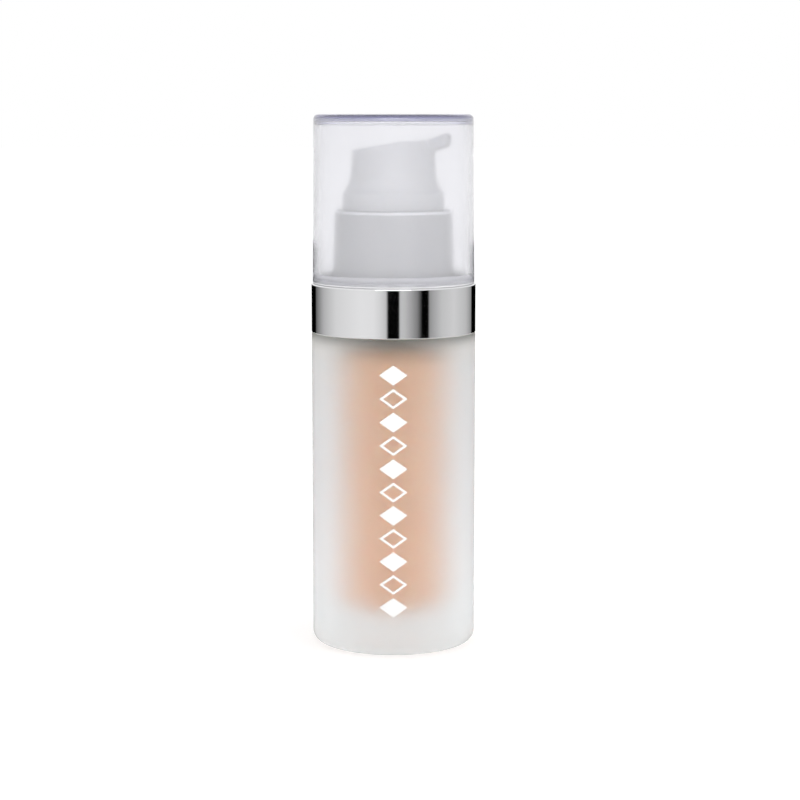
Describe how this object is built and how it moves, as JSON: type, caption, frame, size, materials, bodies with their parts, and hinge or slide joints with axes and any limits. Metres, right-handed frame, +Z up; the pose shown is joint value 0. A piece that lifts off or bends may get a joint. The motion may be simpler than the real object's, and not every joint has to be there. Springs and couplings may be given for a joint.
{
  "type": "foundation bottle",
  "caption": "Cylindrical frosted glass foundation bottle with a metal collar, a dispensing pump with a slanted button and a milky pull-off overcap.",
  "frame": {"origin": "middle of the base, on the surface that the bottle stands on", "axes": "+Z up along the bottle's axis; the printed front faces -Y, and at rest the nozzle points 20 degrees from +X towards -Y"},
  "size_m": [0.038, 0.038, 0.1229],
  "materials": {
    "frosted_glass": "acid-etched frosted outside, clear inside",
    "foundation": "opaque peach liquid",
    "polished_metal": "mirror polished",
    "milky_plastic": "glossy, milky translucent with a faint violet tint",
    "white_plastic": "semi-gloss white polypropylene",
    "natural_plastic": "natural translucent polypropylene",
    "seal_rubber": "soft grey seal",
    "spring_steel": "stainless wire and ball"
  },
  "bodies": {
    "bottle": {"glass_bottle": "frosted_glass", "foundation_fill": "foundation"},
    "pump": {"pump_housing": "natural_plastic", "chaplet": "natural_plastic", "stem_seal": "seal_rubber", "neck_gasket": "seal_rubber", "dip_tube": "natural_plastic"},
    "closure": {"threaded_closure": "white_plastic", "collar_shell": "polished_metal", "pump_shroud": "white_plastic"},
    "overcap": {"overcap": "milky_plastic"},
    "spring": {"return_spring": "spring_steel"},
    "actuator": {"actuator": "white_plastic", "outlet_stem": "natural_plastic", "piston_rod": "natural_plastic"},
    "piston": {"piston": "natural_plastic"},
    "ball": {"inlet_ball": "spring_steel"}
  },
  "joints": [
    {"name": "pump_rise", "type": "slide", "parent": "bottle", "child": "pump", "axis": [0, 0, 1], "range_m": [0, 0.0048]},
    {"name": "collar_turn", "type": "hinge", "parent": "pump", "child": "closure", "pos_m": [0, 0, 0.0785], "axis": [0, 0, 1], "range_deg": [0, 540]},
    {"name": "overcap_lift", "type": "slide", "parent": "closure", "child": "overcap", "axis": [0, 0, 1], "range_m": [0, 0.045]},
    {"name": "actuator_press", "type": "slide", "parent": "pump", "child": "spring", "axis": [0, 0, -1], "range_m": [0, 0.0045], "stiffness_N_per_m": 500, "springref_m": -0.008, "deforming": ["return_spring"]},
    {"name": "actuator_swivel", "type": "hinge", "parent": "spring", "child": "actuator", "pos_m": [0, 0, 0.107], "axis": [0, 0, 1], "continuous": true},
    {"name": "piston_slip", "type": "slide", "parent": "actuator", "child": "piston", "axis": [0, 0, 1], "range_m": [0, 0.0008]},
    {"name": "ball_lift", "type": "slide", "parent": "pump", "child": "ball", "axis": [0, 0, 1], "range_m": [0, 0.0006]}
  ],
  "couplings": [
    {"joint": "pump_rise", "follows": "collar_turn", "m_per_rad": 0.00050532}
  ]
}
